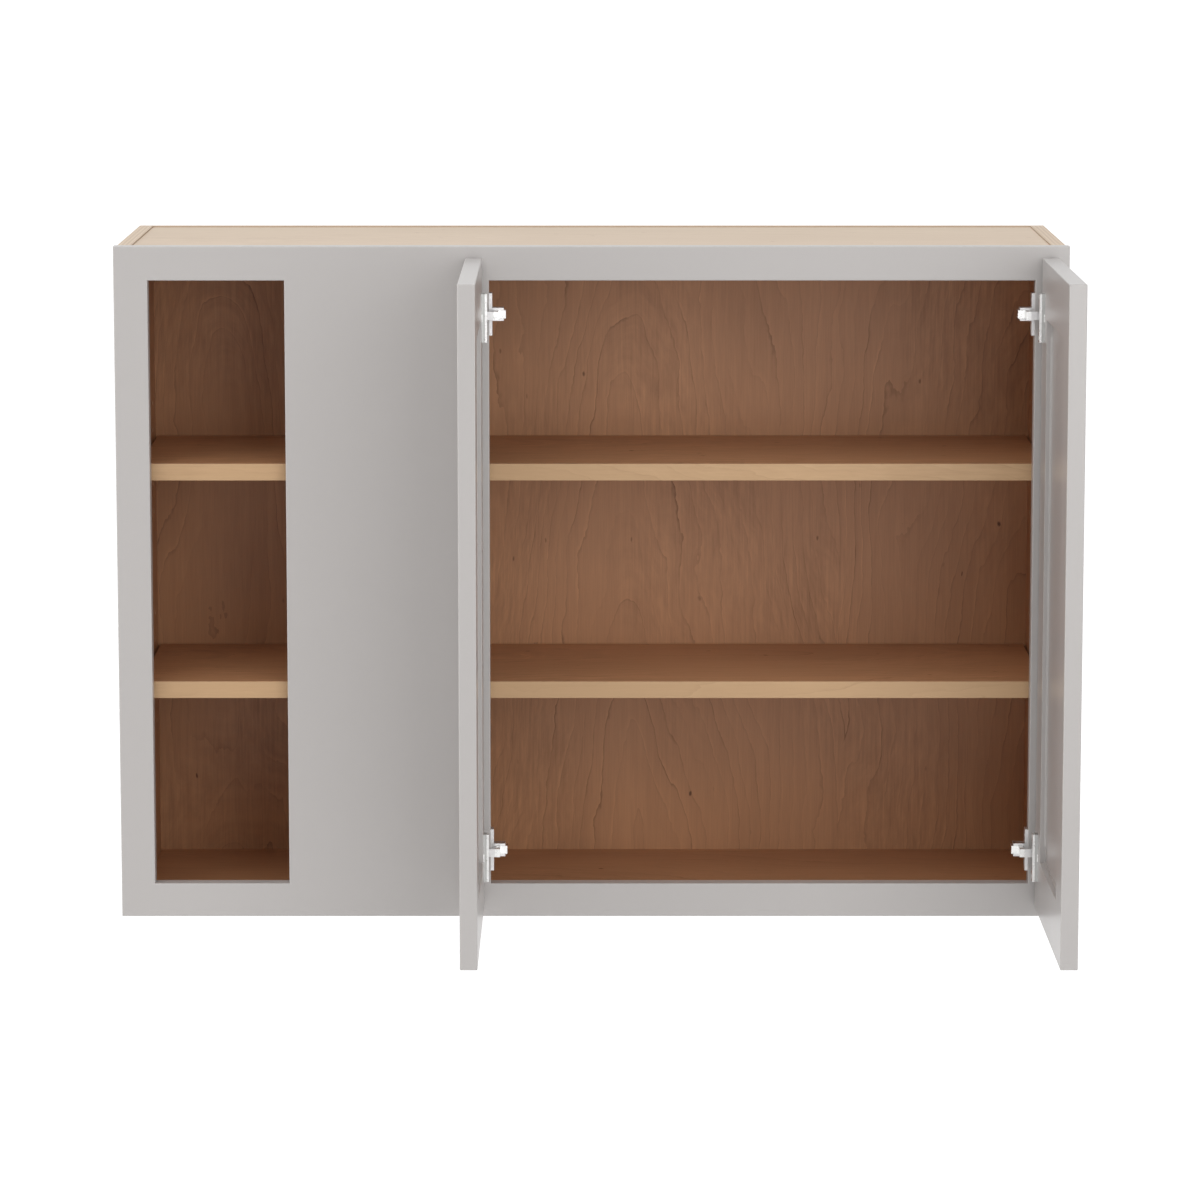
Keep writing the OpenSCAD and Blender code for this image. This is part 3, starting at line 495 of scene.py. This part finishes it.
def bore(bm, inward, centre):
    """Cuts a round hole into the back of the hinge stile."""
    half = BORE_RADIUS + BORE_MARGIN
    for z in (centre.z - half, centre.z + half):
        cut_at(bm, Z_AXIS, z)
    around = [f for f in bm.faces if abs(f.calc_center_median().x - centre.x) < WELD
              and abs(f.normal.x) > FACING and abs(f.calc_center_median().z - centre.z) < half
              and abs(f.calc_center_median().y - centre.y) < MEMBER_WIDTH / 2]
    rim = {e for f in around for e in f.edges}
    bmesh.ops.delete(bm, geom=around, context="FACES")
    turn = Matrix.Translation(centre) @ Matrix.Rotation(math.radians(90), 4, "Y")
    ring = bmesh.ops.create_circle(bm, cap_ends=False, radius=BORE_RADIUS, segments=BORE_SEGMENTS, matrix=turn)
    mouth = list({e for v in ring["verts"] for e in v.link_edges})
    rim = [e for e in rim if e.is_valid and e.is_boundary]
    bmesh.ops.triangle_fill(bm, use_beauty=True, use_dissolve=False, edges=rim + mouth, normal=-inward)
    wall = bmesh.ops.extrude_edge_only(bm, edges=mouth)
    lower = [v for v in wall["geom"] if isinstance(v, bmesh.types.BMVert)]
    bmesh.ops.translate(bm, vec=inward * BORE_DEPTH, verts=lower)
    bmesh.ops.contextual_create(bm, geom=[e for e in wall["geom"] if isinstance(e, bmesh.types.BMEdge)
                                          and all(v in lower for v in e.verts)])


for side, toward_back in (("left", 1), ("right", -1)):
    parts = ("hinge_stile", "meeting_stile", "top_rail", "bottom_rail", "panel")
    nodes = [f"{side}_door_{part}" for part in parts]
    low, high = box_of(nodes)
    back_x = high.x if toward_back > 0 else low.x
    bm = block(low, high)
    back = max(bm.faces, key=lambda f: f.normal.x * toward_back)
    ledge = sunk(bm, back, MEMBER_WIDTH - BACK_LEDGE, BACK_LEDGE_DEPTH)
    sunk(bm, ledge, BACK_LEDGE, PANEL_RECESS - BACK_LEDGE_DEPTH)
    front = min((f for f in bm.faces if f.calc_area() > LEAST_FACE), key=lambda f: f.normal.x * toward_back)
    sunk(bm, front, MEMBER_WIDTH, PANEL_RECESS)
    cups = [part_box(f"{side}_{level}_hinge_cup") for level in ("upper", "lower")]
    for cup_low, cup_high in cups:
        middle_z = (cup_low.z + cup_high.z) / 2
        bore(bm, X_AXIS * -toward_back, Vector((back_x, high.y - BORE_EDGE_DISTANCE, middle_z)))
    bmesh.ops.recalc_face_normals(bm, faces=bm.faces)

    def outer(edge):
        """True where the edge lies on two sides of the door's box."""
        ends = [v.co for v in edge.verts]
        on = [all(abs(p[a] - end[a]) < TOUCHING for p in ends) for a in range(3) for end in (low, high)]
        return sum(on) >= 2

    def recessed(edge):
        return edge.calc_length() > RECESS_EDGE_LENGTH and not outer(edge)

    paint_arrises(bm, sharp_edges(bm, recessed), RECESS_ARRIS, 2)
    paint_arrises(bm, sharp_edges(bm, outer), DOOR_ARRIS)
    place(bm, f"painted_{side}_door", f"{side}_door", nodes, [GREY_ENAMEL])

# The shelves: the same maple plywood with a clear coat on both faces, painted darker and redder as the shade
# inside the box, and a thin strip of solid maple ironed on the front edge, which takes the light and reads paler
# than the board. Their ends stand clear of the sides.
BAND_EDGE_LENGTH = 0.005
BAND_WOOD, BAND_RING = (0.630, 0.412, 0.230, 1), (0.345, 0.192, 0.091, 1)
for shelf, log_place in (("upper", 0.11), ("lower", 2.43)):
    node = f"{shelf}_shelf"
    low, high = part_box(node)
    middle = (low.z + high.z) / 2
    faces = veneer(f"{shelf} shelf, coated_shaded", GRAIN_ALONG_X, (0.4, log_place, 0), COATED_SHADED_WOOD, COATED_SHADED_RING)
    board(f"{shelf}_shelf_board", node, node, Z_AXIS, 1, [
        faces, faces,
        sawn_edge(f"{shelf} shelf, sawn edge", PLIES_ACROSS_Z, (0, 0, -middle), COATED_SHADED_WOOD, END_GRAIN, 0.0027)])
    band = veneer(f"{shelf} shelf, band", GRAIN_ALONG_BAND, (0, log_place, 0), BAND_WOOD, BAND_RING, 0.6, 0.45)
    bm = merged_copy(f"{shelf}_shelf_edge_band")
    round_off(bm, sharp_edges(bm, lambda e: e.calc_length() > BAND_EDGE_LENGTH), BOARD_ARRIS, 3)
    place(bm, f"{shelf}_shelf_band", node, [f"{shelf}_shelf_edge_band"], [band])

# The hinges: steel with a bright nickel plate, tumbled satin where it is not polished. A cup is sunk in the door
# and held by two screws through a thick rim, a dull cast foot under a bright lip, its darker grey painted shade
# under the lip. An arm turns in it on a pin, its leg satin and painted darker as shade, and a screw clamps the arm
# between two cheeks of the plate on the frame.
METAL_ARRIS = 0.00018
SCREW_ARRIS = 0.00015
METAL_SHARP_DEGREES = 50
RIM_FOOT = 0.0034
RIM_STAND = 0.0012
ARM_LEG_REACH = 0.0228


def plated_steel():
    """Bright plating: faint rolling marks and a slight mottle in its colour and gloss."""
    group, given, result = new_group(
        "plated_steel",
        [("Vector", "NodeSocketVector", None), ("Metal", "NodeSocketColor", (0.8, 0.79, 0.77, 1)),
         ("Roughness", "NodeSocketFloat", 0.28)],
        [("Color", "NodeSocketColor"), ("Roughness", "NodeSocketFloat"), ("Height", "NodeSocketFloat")])
    mottle = stretched_noise(group, given["Vector"], (240, 240, 240), detail=2.0)
    rolled = stretched_noise(group, given["Vector"], (2600, 2600, 160), detail=2.0, roughness=0.6)
    tone = remap(group, mottle, 0.3, 0.7, 0.95, 1.04)
    group.links.new(scaled_colour(group, given["Metal"], tone), result["Color"])
    gloss = remap(group, mottle, 0.3, 0.7, -0.05, 0.06)
    gloss = sum_of(group, "ADD", gloss, remap(group, rolled, 0.3, 0.7, -0.03, 0.03))
    group.links.new(sum_of(group, "ADD", given["Roughness"], gloss), result["Roughness"])
    group.links.new(sum_of(group, "ADD", rolled, mottle), result["Height"])
    return group


PLATING = plated_steel()


def plated(name, metal, roughness):
    material, tree = new_material(name)
    here = put(tree, "ShaderNodeTexCoord").outputs["Object"]
    sockets = {"Vector": here, "Metal": metal, "Roughness": roughness}
    plate = put(tree, "ShaderNodeGroup", sockets, node_tree=PLATING).outputs
    show(tree, put(tree, "ShaderNodeBsdfPrincipled", {
        "Base Color": plate["Color"], "Metallic": 1.0, "Roughness": plate["Roughness"],
        "Normal": bumped(tree, plate["Height"], 0.15, 0.00005)}))
    return material


NICKEL = plated("bright nickel plate", (0.86, 0.86, 0.85, 1), 0.30)
# The satin grey is the plate's finish and also painted shade on the arm's leg; the cast zinc's darker grey is
# painted shade on the cup's foot.
SATIN_AND_SHADED_NICKEL = plated("satin and shaded nickel plate", (0.72, 0.71, 0.71, 1), 0.42)
SHADED_CAST_ZINC = plated("shaded die cast zinc", (0.50, 0.50, 0.49, 1), 0.46)
ZINC = plated("zinc plated steel", (0.72, 0.72, 0.71, 1), 0.34)


def metal_piece(name, node, body, finishes, radius=METAL_ARRIS, cut_x=0.0, duller_shaded=None):
    """A metal part with softened arrises and smooth round faces. Where the given test says so, it has its second
    finish, less glossy and painted darker as shade, and the plane at cut_x parts the two."""
    bm = merged_copy(node)
    if duller_shaded:
        cut_at(bm, X_AXIS, cut_x)
    round_off(bm, sharp_edges(bm, sharper_than=METAL_SHARP_DEGREES), radius, 2)
    for face in bm.faces:
        face.smooth = True
        face.material_index = int(bool(duller_shaded) and duller_shaded(face.calc_center_bounds()))
    piece = place(bm, name, body, [node], finishes)
    piece.data.set_sharp_from_angle(angle=math.radians(METAL_SHARP_DEGREES))
    piece.modifiers.new("even shading", "WEIGHTED_NORMAL").keep_sharp = True


for side, inward in (("left", 1), ("right", -1)):
    door_low, door_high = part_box(f"{side}_door_hinge_stile")
    door_back_x = door_high.x if inward > 0 else door_low.x
    for level in ("upper", "lower"):
        hinge = f"{side}_{level}_hinge"
        pin_low, pin_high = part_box(f"{hinge}_pin")
        leg_end_x = (pin_low.x + pin_high.x) / 2 + inward * ARM_LEG_REACH
        foot_top_x = door_back_x + inward * RIM_FOOT

        # The foot under the cup's lip and the arm's leg take the darker finishes, as painted shade.
        def in_shaded_foot(point):
            return RIM_STAND < (point.x - door_back_x) * inward < RIM_FOOT

        def in_shaded_leg(point):
            return (leg_end_x - point.x) * inward > 0

        metal_piece(f"{side}_{level}_cup", f"{hinge}_cup", f"{side}_door",
                    [NICKEL, SHADED_CAST_ZINC], cut_x=foot_top_x, duller_shaded=in_shaded_foot)
        metal_piece(f"{side}_{level}_pin", f"{hinge}_pin", f"{side}_door", [ZINC])
        metal_piece(f"{side}_{level}_arm", f"{hinge}_arm", "cabinet",
                    [NICKEL, SATIN_AND_SHADED_NICKEL], cut_x=leg_end_x, duller_shaded=in_shaded_leg)
        metal_piece(f"{side}_{level}_plate", f"{hinge}_plate", "cabinet", [SATIN_AND_SHADED_NICKEL])
    metal_piece(f"{side}_cup_screw_set", f"{side}_cup_screws", f"{side}_door", [ZINC], SCREW_ARRIS)
metal_piece("plate_screw_set", "plate_screws", "cabinet", [ZINC], SCREW_ARRIS)
metal_piece("arm_screw_set", "arm_screws", "cabinet", [ZINC], SCREW_ARRIS)

# The shelf pins: turned and pressed from plated steel, a round shank pushed into the side panel and a flat tab
# that the shelf lies on. They stay in their holes when a shelf is lifted out.
for shelf in ("upper", "lower"):
    metal_piece(f"{shelf}_pin_set", f"{shelf}_shelf_pins", "cabinet", [ZINC])

# The stage: a wide pale floor as far below the cabinet as a wall cabinet hangs, a white room that is brighter
# overhead, and three large soft lamps: in front to the right, at the left, and high in front to the left. The
# camera stands where the photograph's stood, a little above the cabinet.
FLOOR_Z = -1.753
FLOOR_HALF_WIDTH = 120
FLOOR_GREY = (0.80, 0.80, 0.80, 1)
FLOOR_GLOW = 0.6
DOME = 0.221
DOME_OVERHEAD = 1.05
WHITE = (1, 1, 1, 1)
LAMP_WIDTH = 2.4
LAMP_TARGET = Vector((0.19, -0.3, 0))
LAMPS = {"front_lamp": ((1.528, -3.977, 0.832), 50.7), "side_lamp": ((-3.663, -0.979, 0.832), 47.7),
         "high_lamp": ((-1.296, -2.874, 2.677), 27.0)}
CAMERA_SPOT = (0.00966, -5.9625, 0.8411)
CAMERA_DIP = math.radians(8.628)
CAMERA_LENS = 152.47
SENSOR_WIDTH = 36
FAR_END = 400


def seen_directly(tree):
    """1 for rays that show a thing itself, through glass or in a reflection, and 0 for the light it sheds."""
    ray = put(tree, "ShaderNodeLightPath").outputs
    shown = sum_of(tree, "MAXIMUM", ray["Is Glossy Ray"], ray["Is Transmission Ray"])
    return sum_of(tree, "MAXIMUM", ray["Is Camera Ray"], shown)


floor_bm = bmesh.new()
bmesh.ops.create_grid(floor_bm, x_segments=1, y_segments=1, size=FLOOR_HALF_WIDTH)
bmesh.ops.translate(floor_bm, vec=Z_AXIS * FLOOR_Z, verts=floor_bm.verts)
floor_mesh = bpy.data.meshes.new("studio_floor")
floor_bm.to_mesh(floor_mesh)
floor_bm.free()
floor = bpy.data.objects.new("studio_floor", floor_mesh)
bpy.context.scene.collection.objects.link(floor)
material, tree = new_material("pale studio floor")
pale = put(tree, "ShaderNodeBsdfDiffuse", {"Color": FLOOR_GREY})
glow = sum_of(tree, "MULTIPLY", seen_directly(tree), FLOOR_GLOW)
glow = put(tree, "ShaderNodeEmission", {"Color": WHITE, "Strength": glow})
show(tree, put(tree, "ShaderNodeAddShader", {0: pale.outputs[0], 1: glow.outputs[0]}))
floor_mesh.materials.append(material)
floor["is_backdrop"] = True

world = bpy.data.worlds.new("white room")
world.use_nodes = True
world.node_tree.nodes.clear()
tree = world.node_tree
direction = put(tree, "ShaderNodeTexCoord").outputs["Generated"]
upward = put(tree, "ShaderNodeSeparateXYZ", {0: direction}).outputs["Z"]
dome = remap(tree, upward, 0.3, 1.0, DOME, DOME_OVERHEAD)
level = put(tree, "ShaderNodeMix", {0: seen_directly(tree), 2: dome, 3: 1.0}, data_type="FLOAT").outputs[0]
room = put(tree, "ShaderNodeBackground", {"Color": WHITE, "Strength": level})
tree.links.new(room.outputs[0], put(tree, "ShaderNodeOutputWorld").inputs["Surface"])
bpy.context.scene.world = world

for name, (spot, watts) in LAMPS.items():
    lamp = bpy.data.lights.new(name, "AREA")
    lamp.shape, lamp.size, lamp.energy = "SQUARE", LAMP_WIDTH, watts
    stand = bpy.data.objects.new(name, lamp)
    stand.location = spot
    stand.rotation_euler = (stand.location - LAMP_TARGET).to_track_quat("Z", "Y").to_euler()
    bpy.context.scene.collection.objects.link(stand)

camera = bpy.data.cameras.new("camera")
camera.sensor_width, camera.lens, camera.clip_end = SENSOR_WIDTH, CAMERA_LENS, FAR_END
camera_object = bpy.data.objects.new("camera", camera)
camera_object.location = CAMERA_SPOT
camera_object.rotation_euler = (math.radians(90) - CAMERA_DIP, 0, 0)
bpy.context.scene.collection.objects.link(camera_object)
bpy.context.scene.camera = camera_object
bpy.context.scene.view_settings.view_transform = "Standard"

low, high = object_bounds()
